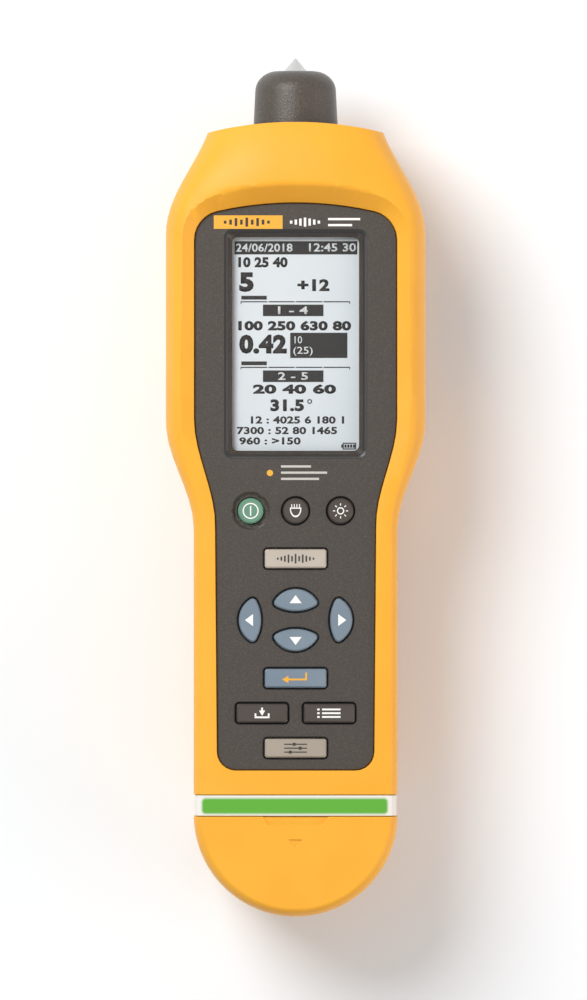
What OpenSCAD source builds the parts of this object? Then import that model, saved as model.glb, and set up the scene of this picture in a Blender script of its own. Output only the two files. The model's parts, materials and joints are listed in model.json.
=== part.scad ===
// Handheld vibration meter. It lies on its back: X runs across, Y towards the probe, Z out of the display.
// The origin is in the middle of its length, on the plane that it rests on.
// Stations named _y are distances from the butt end, and heights named _z are above the rest plane.

/* [Shell] */
// Length from the butt end to the tip of the probe
overall_l = 241; // [238:0.5:246]
// Width of the head
head_w = 72.8; // [71:0.4:76]
// Width of the handle
handle_w = 57.2; // [56:0.4:59]
// Width of the head end
end_w = 45.8; // [45:0.2:47.4]
// Depth of the handle
handle_d = 52; // [50:0.5:56]
// How much deeper the head is than the handle, up to the crest of its rim
head_rise = 6; // [4:0.25:7]
// Height of the seam between the two housings
seam_z = 34; // [32.5:0.5:35]
// Wall of the housings and of the battery cover
wall = 2.2; // [1.8:0.1:2.4]
// How far the back of the grip arches up
grip_arch = 12; // [6:0.5:13]
// Gap between fixed pieces that fit together
fit_gap = 0.3; // [0.2:0.05:0.4]

/* [Faceplate] */
// How far the front of the faceplate lies below the front of the handle
plate_back = 1; // [0.6:0.1:1.4]
// Thickness of the faceplate
plate_t = 2; // [1.6:0.1:2.2]
// Distance from the light band to the bottom edge of the faceplate
foot_margin = 7; // [5:0.5:9]
// Distance from the top edge of the faceplate to the head end
crown_margin = 22.8; // [21:0.4:25]
// Distance from the side of the head to the faceplate
rim_w = 8.2; // [7.8:0.1:8.6]
// Distance from the side of the handle to the faceplate
frame_w = 6.3; // [5.8:0.1:6.6]
// Width of the slope from the crest of the rim to the faceplate, at the sides
slope_w = 4; // [3:0.2:4.6]

/* [Display] */
// Width of the opening for the display
screen_w = 38.7; // [36:0.3:39]
// Length of the opening for the display
screen_l = 63; // [58:0.5:64]
// Distance from the opening to the top edge of the faceplate
screen_margin = 7.9; // [7:0.1:9]
// Distance from the round keys to the opening
screen_gap = 15.3; // [14:0.1:17]
// Width of the bevel round the opening
screen_bevel = 1.6; // [0.8:0.1:1.8]

/* [Keys] */
// How far the keys stand proud of the faceplate
key_rise = 1.2; // [0.6:0.1:1.8]
// Travel of a key
key_travel = 0.6; // [0.3:0.05:0.6]
// Diameter of the round keys
round_key_d = 7.1; // [6:0.1:7.4]
// Diameter of the dished seat round the power key
power_dish_d = 10.9; // [9:0.1:11.5]
// Distance of the outer round keys from the middle line
round_key_x = 12.6; // [12:0.1:13]
// Distance from the bottom edge of the faceplate to the lowest key
key_margin = 6; // [5.5:0.1:7]
// Length of a long key
long_key_w = 17.2; // [15:0.2:18]
// Length of the two lower keys that stand side by side
pair_key_w = 14.2; // [12:0.2:14.4]
// Width of the long keys
bar_key_h = 5.2; // [4.4:0.1:5.4]
// Length of an arrow key
arrow_key_w = 12.1; // [10:0.1:12.6]
// Width of an arrow key
arrow_key_h = 6.2; // [5:0.1:6.4]
// Distance between the two lower keys that stand side by side
pair_gap = 4.6; // [3.6:0.2:6]

/* [Butt end] */
// Station where the battery cover ends and the light band starts
cover_l = 28.1; // [27.6:0.1:28.4]
// Length of the light band
band_l = 6.2; // [5.6:0.2:7]
// Width of the thumb notch
notch_w = 18.4; // [14:0.4:22]
// Length of the thumb notch
notch_l = 2.4; // [1.6:0.1:3]

/* [Probe] */
// Diameter of the rubber boot at the head end
boot_d = 23.6; // [22:0.2:24]
// How much slimmer the boot is at its nose
boot_draft = 0.9; // [0.4:0.1:2]
// How far the boot stands out of the housings
boot_l = 14.6; // [13:0.2:15]
// How far the steel tip stands out of the boot
tip_l = 3.6; // [3.2:0.1:6]
// Diameter of the steel tip
tip_d = 6.5; // [5:0.1:8]
// Height of the cone of the tip
cone_l = 3.65; // [3:0.05:5]
// Travel of the tip
tip_travel = 1; // [0.5:0.1:1]

/* [Port door] */
// Distance from the door to where the head draws in
door_margin = 9.5; // [7:0.5:10]
// Length of the door
door_l = 32; // [30:1:34]
// Distance from the seam to the upper edge of the door
door_drop = 4; // [3:0.5:5]
// Width of the door
door_h = 18; // [17:0.5:18]

/* [Hidden] */

// Overrun of every cut, and the smallest radius inside a corner
over = 1;
inner_r = 0.8;
curve_fn = 64;
small_fn = 32;
corner_steps = 6;

// Stations from the butt end up, and from the tip of the probe down
body_y = cover_l + band_l;
plate_foot_y = body_y + foot_margin;
shell_l = overall_l - tip_l - boot_l;
plate_head_y = shell_l - crown_margin;
screen_y = plate_head_y - screen_margin - screen_l / 2;

// Rows of keys, spread between the lowest one and the round ones below the display
row_shares = [0, 0.1474, 0.2947, 0.5398, 0.7985, 1];
setup_y = plate_foot_y + key_margin;
rows_l = screen_y - screen_l / 2 - screen_gap - setup_y;
pair_y = setup_y + row_shares[1] * rows_l;
enter_y = setup_y + row_shares[2] * rows_l;
arrow_y = setup_y + row_shares[3] * rows_l;
measure_y = setup_y + row_shares[4] * rows_l;
round_key_y = setup_y + row_shares[5] * rows_l;

// Plan of the housings: the handle widens into the head, and the head draws in at its shoulders
waist_drop = 4.8;
waist_y = round_key_y - waist_drop;
waist_l = 29.5;
shoulder_back = 31.3;
shoulder_y = shell_l - shoulder_back;
shoulder_l = 37;
shoulder_in = (head_w - end_w) / 2;
end_bow = 2.9;

// Front of the housings: the rim rises along rise_l, and the crowned brow falls to the head end from brow_y
head_d = handle_d + head_rise;
rim_rise = 2.2;
crown_rise = head_rise - rim_rise;
crown_fall_share = 0.4;
crown_steps = 7;
head_steps = 14;
plate_z = handle_d - plate_back;
rise_l = 48;
brow_l = 18;
brow_y = shell_l - brow_l;
brow_drop = 3.2;
front_r_handle = [2.5, 6];
front_r_rim = [5.5, 12];
front_r_end = [9, 10];
back_r = 15;
back_round_share = 0.8;
arch_gap = 3.7;
arch_y = body_y + arch_gap;

// Probe in the seam, and the infrared window and the torch under it, in the raised back of the head end
probe_z = seam_z;
boot_bore_d = boot_d + 2 * fit_gap;
eye_d = 8;
eye_gap = 2.4;
eye_floor = 7.5;
eye_z = probe_z - boot_bore_d / 2 - eye_gap - eye_d / 2;
end_lift = eye_z - eye_floor;

// Port door on the side of the head
door_y = shoulder_y - door_margin - door_l;
door_z = seam_z - door_drop - door_h;

function smooth(t) = let (u = min(max(t, 0), 1)) u * u * (3 - 2 * u);
function mix(a, b, t) = a + (b - a) * t;
function span(a, b, n) = [for (i = [0 : n]) mix(a, b, i / n)];
function reversed(list) = [for (i = [len(list) - 1 : -1 : 0]) list[i]];

// The other half of an outline that starts and ends near the middle line
function mirrored(side) = concat(side, [for (p = reversed(side)) [-p[0], p[1]]]);

// Points along a part of an ellipse
function arc(centre, radii, from, to, steps) =
    [for (a = span(from, to, steps)) [centre[0] + radii[0] * cos(a), centre[1] + radii[1] * sin(a)]];

// Half width of the housings at a station
function half_w(y) = mix(handle_w / 2, head_w / 2, smooth((y - waist_y) / waist_l))
    - (y > shoulder_y ? shoulder_in * (1 - cos(180 * (y - shoulder_y) / shoulder_l)) / 2 : 0);
function end_share(y) = smooth((y - shoulder_y) / (shell_l - shoulder_y));
function rise_share(y) = smooth((y - waist_y) / rise_l);
function bow(y) = end_bow * end_share(y);
function ring_w(y) = half_w(y - bow(y));

// Height of the rim, how far the front is crowned above it, and height of the back at a station
function brow_share(y) = smooth((y - shoulder_y) / (brow_y - shoulder_y));
function end_fall(y) = pow(max(y - brow_y, 0) / (shell_l - brow_y), 2);
function rim_z(y) = handle_d + rim_rise * rise_share(y) - brow_drop * end_fall(y);
function crown(y) = crown_rise * brow_share(y) * (1 - crown_fall_share * end_fall(y));
function arch_share(y) = (1 - cos(360 * min(max((y - arch_y) / (waist_y + waist_l - arch_y), 0), 1))) / 2;
function back_z(y) = grip_arch * arch_share(y) + end_lift * end_share(y);
function front_r(y) = mix(mix(front_r_handle, front_r_rim, rise_share(y)), front_r_end, end_share(y));
function back_rz(y) = back_round_share * (seam_z - back_z(y));

// One side of the cross-section, from the seam up to the front or down to the back, drawn in by inset
function corner(w, z, radii, inset, up) =
    let (rx = max(radii[0] - inset, inner_r), rz = max(radii[1] - inset, inner_r))
    arc([w - inset - rx, z - up * (inset + rz)], [rx, up * rz], 0, 90, corner_steps);
function crowned(w, z, rise, radii, inset) =
    let (rx = max(radii[0] - inset, inner_r), rz = max(radii[1] - inset, inner_r),
        flat_w = w - inset - rx,
        turn = atan2(rz * flat_w, 3 * rise * rx),
        edge_x = flat_w + rx * cos(turn))
    concat(arc([flat_w, z - inset - rz * sin(turn)], [rx, rz], 0, turn, corner_steps),
        [for (share = span(1 - 1 / crown_steps, 1 / crown_steps, crown_steps - 2))
            [share * edge_x, z - inset + rise * (1 - pow(share, 3))]]);
function front_side(y, inset, from_z) =
    concat([[ring_w(y) - inset, from_z]], crowned(ring_w(y), rim_z(y), crown(y), front_r(y), inset));
function end_side(inset) =
    concat(reversed(corner(ring_w(shell_l), back_z(shell_l), [back_r, back_rz(shell_l)], inset, -1)),
        crowned(ring_w(shell_l), rim_z(shell_l), crown(shell_l), front_r_end, inset));
function back_side(y, inset, from_z) =
    concat([[ring_w(y) - inset, from_z]], corner(ring_w(y), back_z(y), [back_r, back_rz(y)], inset, -1));
function whole_side(y, inset) =
    concat(reversed(corner(ring_w(y), back_z(y), [back_r, back_rz(y)], inset, -1)),
        corner(ring_w(y), rim_z(y), front_r(y), inset, 1));

// Height of the outside of the back beside the middle line
function back_surface_z(x, y) = let (share = (max(x - half_w(y) + back_r, 0)) / back_r)
    back_z(y) + back_rz(y) * (1 - sqrt(1 - share * share));

// Cavity of the front housing: its ceiling carries the faceplate, and past it rises to the end plate
ledge_t = 1.8;
ceiling_r = [1.5, 1.5];
end_back = 1.5;
end_t = 5.5;
end_clear = 3;
end_y = shell_l - end_back - end_t;
plate_low_z = plate_z - plate_t;
ceiling_z = plate_low_z - ledge_t;
function ceiling_share(y) = smooth((y - plate_head_y) / (end_y - end_clear - plate_head_y));
function cavity_side(y, inset, from_z) = let (share = ceiling_share(y))
    concat([[ring_w(y) - inset, from_z]],
        crowned(ring_w(y), mix(ceiling_z + inset, rim_z(shell_l), share), crown(shell_l) * share,
            mix(ceiling_r + [inset, inset], front_r_end, share), inset));

// A ring of the skin: the section stands at its station, and bows with the head end
function ring(y, section) = [for (p = section) [p[0], y - bow(y) * pow(p[0] / ring_w(y), 2), p[1]]];
function walled(outer, inner) = concat(mirrored(outer), reversed(mirrored(inner)));

// A closed skin over rings of equal length. Its ends are strips between the points that face each other.
// The rings run clockwise seen along the stack, or anticlockwise where turned is set.
module skin(given, turned = false) {
    rings = turned ? [for (r = given) reversed(r)] : given;
    n = len(rings[0]);
    last = (len(rings) - 1) * n;
    ends = [for (j = [0 : n / 2 - 2]) each [
        [j, n - 1 - j, j + 1], [j + 1, n - 1 - j, n - 2 - j],
        [last + j, last + j + 1, last + n - 1 - j], [last + j + 1, last + n - 2 - j, last + n - 1 - j]]];
    sides = [for (i = [0 : len(rings) - 2], j = [0 : n - 1]) let (a = i * n + j, b = i * n + (j + 1) % n)
        each [[a, b, b + n], [a, b + n, a + n]]];
    polyhedron(points = [for (r = rings) each r], faces = concat(ends, sides));
}

// Places a piece from the butt end, with the origin in the middle of the whole length
module placed() {
    translate([0, -overall_l / 2, 0])
        children();
}

// Stands a flat profile, drawn as X and Z, at a station and draws it out along the length
module along(y, l) {
    translate([0, y + l, 0])
        rotate([90, 0, 0])
            linear_extrude(l)
                children();
}

// A cylinder along the length, from its station towards the probe
module rod(x, y, z, d, l) {
    translate([x, y, z])
        rotate([-90, 0, 0])
            cylinder(d = d, h = l, $fn = curve_fn);
}

// Outline of the faceplate, grown sideways and endways
plate_taper_w = 0.5;
plate_lag = 1;
plate_foot_r = 5;
plate_head_r = 8;
plate_crown_r = 100;
top_slope_w = 5.3;
function plate_w(y) =
    mix(handle_w / 2 - frame_w, head_w / 2 - rim_w, smooth((y - waist_y - plate_lag) / waist_l))
    - plate_taper_w * max(waist_y - y, 0) / (waist_y - plate_foot_y);
function plate_side(side_grow, head_grow) =
    let (head_x = plate_w(shoulder_y) - plate_head_r,
        turn = asin(head_x / (plate_crown_r - plate_head_r)),
        crown_y = plate_head_y - plate_crown_r,
        head_c = [head_x, crown_y + (plate_crown_r - plate_head_r) * cos(turn)],
        foot_c = [plate_w(plate_foot_y) - plate_foot_r, plate_foot_y + plate_foot_r])
    concat(
        arc(foot_c, (plate_foot_r + side_grow) * [1, 1], -90, 0, corner_steps),
        [for (y = span(waist_y, waist_y + plate_lag + waist_l, 8)) [plate_w(y) + side_grow, y]],
        arc(head_c, [plate_head_r + side_grow, plate_head_r + head_grow], 0, 90 - turn, corner_steps),
        arc([0, crown_y], (plate_crown_r + head_grow) * [1, 1], 90 - 0.8 * turn, 90 - 0.1 * turn, 5));

module plate_shape(grow) {
    polygon(mirrored(plate_side(grow, grow)));
}

// Recess of the faceplate: upright up to the front of the handle, then sloping out to the crest of the rim
ledge_w = 4;
crest_least = 0.3;
past_crest = 1.25;
function crest_rise(x, y) = max(crest_least, rim_rise * rise_share(y)
    + crown_rise * brow_share(y) * (1 - pow(min(abs(x) / (plate_w(shoulder_y) + slope_w), 1), 3)));
module plate_recess() {
    inner = mirrored(plate_side(fit_gap, fit_gap));
    crest = mirrored(plate_side(slope_w, top_slope_w));
    outer = mirrored(plate_side(past_crest * slope_w, past_crest * top_slope_w));
    skin([[for (p = inner) [p[0], p[1], plate_low_z]], [for (p = inner) [p[0], p[1], handle_d]],
        [for (i = [0 : len(outer) - 1])
            [outer[i][0], outer[i][1], handle_d + past_crest * crest_rise(crest[i][0], crest[i][1])]],
        [for (p = outer) [p[0], p[1], handle_d + past_crest * head_rise + over]]], turned = true);
    translate([0, 0, ceiling_z - over])
        linear_extrude(ledge_t + 2 * over) {
            plate_shape(-ledge_w);
            frame_shape(carrier_w + 2 * fit_gap, carrier_l + 2 * fit_gap, screen_r);
            key_room(setup_y, long_key_w, bar_key_h);
            key_room(pair_y, 2 * pair_x + pair_key_w, bar_key_h);
            key_room(arrow_y, 2 * arrow_out_x + arrow_key_h, arrow_key_w);
            key_room(round_key_y, 2 * round_key_x + round_key_d, round_key_d);
            at_each_boss()
                circle(d = boss_d + 2 * fit_gap, $fn = small_fn);
        }
}

// Room in the ledge for the flanges of a row of keys
module key_room(y, w, l) {
    translate([0, y])
        square([w, l] + 2 * (flange_w + fit_gap) * [1, 1], center = true);
}

// Posts for the housing screws: two pairs in the head and one in the handle
screw_d = 2.6;
thread_gap = 0.05;
screw_head_d = 5;
screw_head_t = 1.8;
screw_bite = 8;
head_post_d = 7.4;
handle_post_d = 5.4;
post_floor = 2.5;
post_clear = 6;
seam_gap = 0.8;
high_seam_z = seam_z + seam_gap / 2;
low_seam_z = seam_z - seam_gap / 2;
head_post_in = 6.4;
handle_post_in = 5.2;
handle_post_back = 13;
posts = [
    [head_w / 2 - head_post_in, door_y - post_clear, head_post_d],
    [head_w / 2 - head_post_in, door_y + door_l + post_clear, head_post_d],
    [handle_w / 2 - handle_post_in, waist_y - handle_post_back, handle_post_d]
];
function post_z(post) = back_surface_z(post[0] + post[2] / 2, post[1]) + inner_r;
function post_seat_z(post) = post_z(post) + post_floor;

module at_each_post() {
    for (post = posts, side = [-1, 1])
        translate([side * post[0], post[1], 0]) {
            $post = post;
            children();
        }
}

// Room for the posts in a piece that lies between them
module post_room() {
    at_each_post()
        cylinder(d = $post[2] + 2 * fit_gap, h = head_d, $fn = small_fn);
}

module rear_posts() {
    at_each_post()
        translate([0, 0, post_z($post)])
            cylinder(d = $post[2], h = low_seam_z - post_z($post), $fn = small_fn);
}

module rear_post_holes() {
    at_each_post() {
        translate([0, 0, -over])
            cylinder(d = screw_head_d + 2 * fit_gap, h = post_seat_z($post) + over, $fn = small_fn);
        cylinder(d = screw_d + 2 * fit_gap, h = seam_z, $fn = small_fn);
    }
}

module front_posts() {
    at_each_post()
        difference() {
            translate([0, 0, high_seam_z])
                cylinder(d = $post[2], h = ceiling_z + ledge_t / 2 - high_seam_z, $fn = small_fn);
            translate([0, 0, high_seam_z - over])
                cylinder(d = screw_d + 2 * thread_gap, h = screw_bite + fit_gap + over, $fn = small_fn);
        }
}

front_stations = concat([body_y], span(waist_y, waist_y + rise_l, 12), span(shoulder_y, shell_l, head_steps));
back_stations = concat([body_y], span(arch_y, waist_y, 9), span(waist_y + waist_l / 8, waist_y + waist_l, 7),
    span(shoulder_y, shell_l, head_steps));

module front_housing() {
    color("#f7b547")
        placed() {
            difference() {
                skin([for (y = front_stations)
                    ring(y, walled(front_side(y, 0, high_seam_z), cavity_side(y, wall, high_seam_z)))]);
                plate_recess();
            }
            front_posts();
        }
}

module rear_housing() {
    color("#f2a83c")
        placed()
            difference() {
                union() {
                    skin([for (y = back_stations)
                        ring(y, walled(back_side(y, 0, low_seam_z), back_side(y, wall, low_seam_z)))],
                        turned = true);
                    rear_posts();
                }
                rear_post_holes();
                translate([head_w / 4, door_y, door_z])
                    cube([head_w, door_l, door_h]);
            }
}

// Seal in the seam: one strip on each side
gasket_in = 0.5;
gasket_w = 1.2;
module shell_gasket() {
    stations = concat([body_y], span(waist_y, waist_y + waist_l, 10), span(shoulder_y, shell_l, head_steps));
    outer = [for (y = stations) [ring_w(y) - gasket_in, y - bow(y)]];
    inner = [for (y = reversed(stations)) [ring_w(y) - gasket_in - gasket_w, y - bow(y)]];
    color("#3a3835")
        placed()
            translate([0, 0, low_seam_z])
                linear_extrude(seam_gap)
                    for (side = [0, 1])
                        mirror([side, 0])
                            polygon(concat(outer, inner));
}

module housing_screws() {
    color("#8d8f92")
        placed()
            at_each_post() {
                head_z = post_seat_z($post) - screw_head_t;
                translate([0, 0, head_z])
                    cylinder(d = screw_head_d, h = screw_head_t, $fn = small_fn);
                translate([0, 0, head_z + screw_head_t / 2])
                    cylinder(d = screw_d, h = high_seam_z + screw_bite - head_z - screw_head_t / 2,
                        $fn = small_fn);
            }
}

// Places of the keys from the middle line, and their sections
key_gap = 0.3;
key_edge = 0.4;
key_r = 0.7;
flange_t = 0.6;
flange_w = 0.8;
flange_gap = 0.2;
stem_in = 1.2;
arrow_out_x = 12.8;
arrow_out_share = 0.0842;
arrow_out_y = arrow_out_share * rows_l;
pair_x = (pair_key_w + pair_gap) / 2;
arrow_outer_share = 0.62;
arrow_tip_r = 1.1;
key_top_z = plate_z + key_rise;
flange_z = plate_low_z - flange_gap - flange_t;

// Outline of an arrow key: an arc on each side, and round tips that both run into
function lens_r(h, tip_x) = (tip_x * tip_x + h * h - arrow_tip_r * arrow_tip_r) / (2 * (h - arrow_tip_r));
function lens_side(w, outer_h, inner_h) =
    let (tip_x = w / 2 - arrow_tip_r,
        far_r = lens_r(outer_h, tip_x),
        near_r = lens_r(inner_h, tip_x),
        far_a = atan2(far_r - outer_h, tip_x),
        near_a = atan2(near_r - inner_h, tip_x))
    concat(
        arc([0, near_r - inner_h], [near_r, near_r], -87, -near_a, corner_steps),
        arc([tip_x, 0], [arrow_tip_r, arrow_tip_r], -near_a / 2, far_a / 2, 2),
        arc([0, outer_h - far_r], [far_r, far_r], far_a, 87, corner_steps));

module round_key_shape() {
    circle(d = round_key_d, $fn = curve_fn);
}

module bar_key_shape(w) {
    square([w - 2 * key_r, bar_key_h], center = true);
    square([w, bar_key_h - 2 * key_r], center = true);
    for (x = [-1, 1], y = [-1, 1])
        translate([x * (w / 2 - key_r), y * (bar_key_h / 2 - key_r)])
            circle(key_r, $fn = small_fn);
}

module arrow_key_shape() {
    outer_h = arrow_key_h * arrow_outer_share;
    translate([0, arrow_key_h / 2 - outer_h])
        polygon(mirrored(lens_side(arrow_key_w, outer_h, arrow_key_h - outer_h)));
}

// Each key lies at a place and a turn, and the faceplate has the same shape as a hole
module key_layout() {
    for (x = [-round_key_x, 0, round_key_x])
        translate([x, round_key_y])
            round_key_shape();
    translate([0, measure_y])
        bar_key_shape(long_key_w);
    for (turn = [0 : 90 : 270])
        at_arrow(turn)
            arrow_key_shape();
    translate([0, enter_y])
        bar_key_shape(long_key_w);
    for (side = [-1, 1])
        translate([side * pair_x, pair_y])
            bar_key_shape(pair_key_w);
    translate([0, setup_y])
        bar_key_shape(long_key_w);
}

module at_arrow(turn) {
    translate([-arrow_out_x * sin(turn), arrow_y + arrow_out_y * cos(turn)])
        rotate(turn)
            children();
}

// A key: a cap with a bevelled edge, a flange under the faceplate and a stem down to the keypad
module key_body(w, l) {
    stem_z = mat_top_z + key_travel + switch_gap;
    translate([0, 0, key_top_z - key_edge])
        linear_extrude(key_edge, scale = [1 - 2 * key_edge / w, 1 - 2 * key_edge / l])
            children();
    translate([0, 0, flange_z + flange_t / 2])
        linear_extrude(key_top_z - key_edge - flange_z - flange_t / 2)
            children();
    translate([0, 0, flange_z])
        linear_extrude(flange_t)
            offset(delta = flange_w)
                children();
    translate([0, 0, stem_z])
        linear_extrude(flange_z + flange_t / 2 - stem_z)
            offset(delta = -stem_in)
                children();
}

module round_key(x, tint) {
    color(tint)
        placed()
            translate([x, round_key_y, 0])
                key_body(round_key_d, round_key_d)
                    round_key_shape();
}

module bar_key(x, y, w, tint) {
    color(tint)
        placed()
            translate([x, y, 0])
                key_body(w, bar_key_h)
                    bar_key_shape(w);
}

module arrow_key(turn) {
    color("#74808a")
        placed()
            at_arrow(turn)
                key_body(arrow_key_w, arrow_key_h)
                    arrow_key_shape();
}

module key_power() { round_key(-round_key_x, "#6fb07a"); }
module key_torch() { round_key(0, "#54504b"); }
module key_backlight() { round_key(round_key_x, "#54504b"); }
module key_measure() { bar_key(0, measure_y, long_key_w, "#c3baae"); }
module key_up() { arrow_key(0); }
module key_left() { arrow_key(90); }
module key_down() { arrow_key(180); }
module key_right() { arrow_key(270); }
module key_enter() { bar_key(0, enter_y, long_key_w, "#798892"); }
module key_save() { bar_key(-pair_x, pair_y, pair_key_w, "#544b46"); }
module key_memory() { bar_key(pair_x, pair_y, pair_key_w, "#544b46"); }
module key_setup() { bar_key(0, setup_y, long_key_w, "#b1a79a"); }

// A frame shape round the display, with its corners rounded by arcs
screen_r = 1.6;
function frame_side(w, l, r) = concat(arc([w / 2 - r, screen_y - l / 2 + r], [r, r], -90, 0, corner_steps),
    arc([w / 2 - r, screen_y + l / 2 - r], [r, r], 0, 90, corner_steps));

module frame_shape(w, l, r) {
    polygon(mirrored(frame_side(w, l, r)));
}

module screen_opening() {
    levels = [[plate_low_z - over, 1 + over / plate_t], [plate_z + over, -over / plate_t]];
    skin([for (v = levels) let (grow = -2 * screen_bevel * v[1])
        [for (p = mirrored(frame_side(screen_w + grow, screen_l + grow, screen_r))) [p[0], p[1], v[0]]]],
        turned = true);
}

// Bosses under the faceplate, which the main board is screwed to
boss_d = 3.8;
boss_screw_d = 1.8;
boss_hole_l = 3.6;
boss_in = 4.6;
boss_gap = 2.2;
boss_drop = 0.9;
board_drop = 6.1;
board_t = 1.6;
board_in = 2.6;
board_z = plate_low_z - board_drop;
board_top_z = board_z + board_t;
carrier_grow = [5.3, 4];
carrier_w = screen_w + carrier_grow[0];
carrier_l = screen_l + carrier_grow[1];
boss_stations = [enter_y - boss_drop, arrow_y + arrow_key_w / 2 + flange_w + boss_gap + boss_d / 2,
    screen_y - carrier_l / 2 - boss_gap - boss_d / 2];
bosses = [for (y = boss_stations) [plate_w(y) - boss_in, y]];

module at_each_boss() {
    for (boss = bosses, side = [-1, 1])
        translate([side * boss[0], boss[1], 0])
            children();
}

// Dished seat round the power key
dish_t = 0.7;
dish_floor = 0.5;
module power_dish() {
    floor_d = round_key_d + 2 * key_gap + 2 * dish_floor;
    mouth_d = power_dish_d + (power_dish_d - floor_d) * over / dish_t;
    translate([-round_key_x, round_key_y, plate_z - dish_t])
        cylinder(d1 = floor_d, d2 = mouth_d, h = dish_t + over, $fn = curve_fn);
}

module faceplate() {
    color("#57514c")
        placed()
            difference() {
                union() {
                    translate([0, 0, plate_low_z])
                        linear_extrude(plate_t)
                            plate_shape(0);
                    at_each_boss()
                        translate([0, 0, board_top_z])
                            cylinder(d = boss_d, h = plate_low_z + plate_t / 2 - board_top_z, $fn = small_fn);
                }
                screen_opening();
                translate([0, 0, plate_low_z - over])
                    linear_extrude(plate_t + 2 * over)
                        offset(delta = key_gap)
                            key_layout();
                power_dish();
                at_each_boss()
                    translate([0, 0, board_top_z - over])
                        cylinder(d = boss_screw_d + 2 * thread_gap, h = boss_hole_l + over, $fn = small_fn);
            }
}

// Under the opening: a foam frame, the clear window, then the display in its carrier on the board
window_t = 1.2;
window_grow = [2.3, 2.5];
window_w = screen_w + window_grow[0];
window_l = screen_l + window_grow[1];
foam_t = 0.4;
window_z = plate_low_z - foam_t - window_t;
panel_in = 1.2;
carrier_gap = 0.3;
panel_w = screen_w - panel_in;
panel_l = screen_l - panel_in;
carrier_t = window_z - carrier_gap - board_top_z;
panel_t = carrier_t - carrier_gap;

module display_gasket() {
    color("#2d2b29")
        placed()
            translate([0, 0, plate_low_z - foam_t])
                linear_extrude(foam_t)
                    difference() {
                        frame_shape(window_w, window_l, screen_r);
                        frame_shape(screen_w - screen_bevel, screen_l - screen_bevel, screen_r);
                    }
}

module display_window() {
    color("#dfe6e8", 0.5)
        placed()
            translate([0, 0, window_z])
                linear_extrude(window_t)
                    frame_shape(window_w, window_l, screen_r);
}

module lcd_frame() {
    color("#8d9093")
        placed()
            difference() {
                translate([0, 0, board_top_z])
                    linear_extrude(carrier_t)
                        difference() {
                            frame_shape(carrier_w, carrier_l, screen_r);
                            frame_shape(panel_w + 2 * fit_gap, panel_l + 2 * fit_gap, inner_r);
                        }
                post_room();
            }
}

module lcd_panel() {
    color("#dae2e5")
        placed()
            translate([0, 0, board_top_z])
                linear_extrude(panel_t)
                    frame_shape(panel_w, panel_l, inner_r);
}

module main_board() {
    color("#3f7a4c")
        placed()
            difference() {
                translate([0, 0, board_z])
                    linear_extrude(board_t)
                        plate_shape(-board_in);
                at_each_boss()
                    translate([0, 0, board_z - over])
                        cylinder(d = boss_screw_d + fit_gap, h = board_t + 2 * over, $fn = small_fn);
            }
}

// Parts on the underside of the board, placed from the middle of the display and of the arrow keys
display_chip_shares = [[0, -0.257], [-0.455, -0.734], [0.409, -0.854], [-0.545, 0.34]];
display_chip_sizes = [[14, 14, 1.6], [8, 10, 1.4], [10, 6, 1.4], [9, 16, 2.4]];
keypad_chip_share = [0, 1.326];
keypad_chip_size = [7, 7, 1.2];
display_capacitor_share = [0.545, 0.34];
keypad_capacitor_shares = [[0.781, 0.279], [-0.703, 0.047]];
capacitor_d = 6.3;
capacitor_h = 5.4;

module at_display_share(share, size) {
    translate([share[0] * carrier_w / 2, screen_y + share[1] * carrier_l / 2, board_z - size[2]])
        children();
}

module at_keypad_share(share, size) {
    translate([share[0] * arrow_out_x, arrow_y + share[1] * (measure_y - arrow_y), board_z - size[2]])
        children();
}

module chip(size) {
    translate([-size[0] / 2, -size[1] / 2, 0])
        cube(size);
}

module capacitor() {
    cylinder(d = capacitor_d, h = capacitor_h, $fn = small_fn);
}

module board_chips() {
    capacitor_size = [capacitor_d, capacitor_d, capacitor_h];
    color("#2b2b2d")
        placed() {
            for (i = [0 : len(display_chip_shares) - 1])
                at_display_share(display_chip_shares[i], display_chip_sizes[i])
                    chip(display_chip_sizes[i]);
            at_keypad_share(keypad_chip_share, keypad_chip_size)
                chip(keypad_chip_size);
            at_display_share(display_capacitor_share, capacitor_size)
                capacitor();
            for (share = keypad_capacitor_shares)
                at_keypad_share(share, capacitor_size)
                    capacitor();
        }
}

board_screw_head_d = 3.6;
board_screw_head_t = 1.2;
module board_screws() {
    shank_l = board_t + boss_hole_l - fit_gap;
    color("#b9bbbd")
        placed()
            at_each_boss() {
                translate([0, 0, board_z - board_screw_head_t])
                    cylinder(d = board_screw_head_d, h = board_screw_head_t, $fn = small_fn);
                translate([0, 0, board_z - board_screw_head_t / 2])
                    cylinder(d = boss_screw_d, h = shank_l + board_screw_head_t / 2, $fn = small_fn);
            }
}

// Rubber keypad: a sheet on the board with a low pad under every key
mat_t = 0.6;
pad_t = 0.4;
mat_in = 4.6;
mat_clear = 5;
switch_gap = 0.1;
mat_top_z = board_top_z + mat_t + pad_t;
module keypad_mat() {
    mat_w = handle_w - 2 * frame_w - 2 * mat_in;
    mat_y = setup_y - bar_key_h / 2 - flange_w;
    color("#46433f")
        placed()
            difference() {
                union() {
                    translate([-mat_w / 2, mat_y, board_top_z])
                        cube([mat_w, round_key_y + mat_clear - mat_y, mat_t]);
                    translate([0, 0, board_top_z + mat_t / 2])
                        linear_extrude(mat_t / 2 + pad_t)
                            offset(delta = -stem_in / 2)
                                key_layout();
                }
                at_each_boss()
                    translate([0, 0, board_top_z - over])
                        cylinder(d = boss_d + 2 * fit_gap, h = mat_t + 2 * over, $fn = small_fn);
            }
}

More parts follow.
